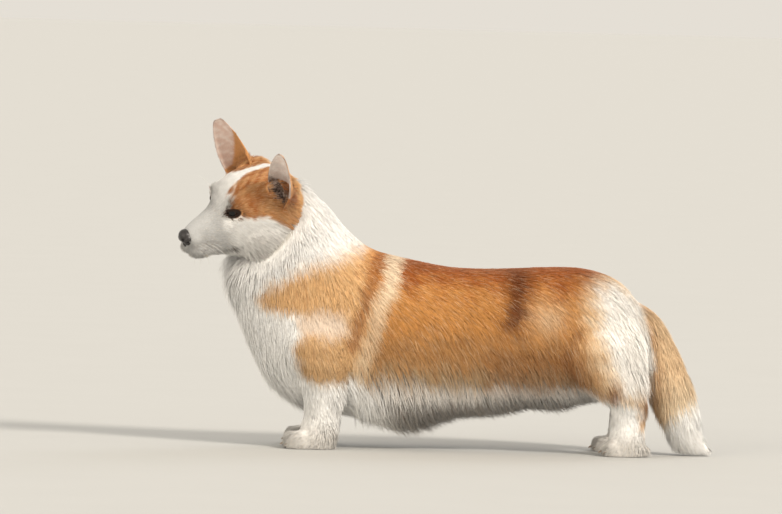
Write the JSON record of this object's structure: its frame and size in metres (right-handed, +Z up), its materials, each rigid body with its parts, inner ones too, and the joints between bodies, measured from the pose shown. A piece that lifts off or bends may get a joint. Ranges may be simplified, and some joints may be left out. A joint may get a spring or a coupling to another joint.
{
  "type": "standing pembroke welsh corgi model",
  "caption": "Life-size still model of a long, low herding dog standing square with its head turned, upright ears, deep coat and a full tail that hangs to the floor.",
  "frame": {"origin": "on the floor, under the middle of the dog's bounding box", "axes": "-X is ahead of the dog, -Y is its left side, +Z is up"},
  "size_m": [0.7602, 0.2236, 0.4556],
  "materials": {
    "face_coat": "short dense fur, gold and white",
    "nose_leather": "bare damp black nose leather",
    "eye": "polished dark brown model eye",
    "ear_coat": "short fur, orange outside and pale inside",
    "collar_coat": "long dense white fur",
    "body_coat": "long dense red-gold fur",
    "leg_coat": "medium gold to white fur",
    "paw_coat": "short white fur with horn claws",
    "tail_coat": "long gold fur with a white tip"
  },
  "bodies": {
    "root": {"head": "face_coat", "nose": "nose_leather", "eye_left": "eye", "eye_right": "eye", "ear_left": "ear_coat", "ear_right": "ear_coat", "neck": "collar_coat", "torso": "body_coat", "foreleg_left": "leg_coat", "foreleg_right": "leg_coat", "hindleg_left": "leg_coat", "hindleg_right": "leg_coat", "forepaw_left": "paw_coat", "forepaw_right": "paw_coat", "hindpaw_left": "paw_coat", "hindpaw_right": "paw_coat", "tail": "tail_coat"}
  },
  "joints": []
}
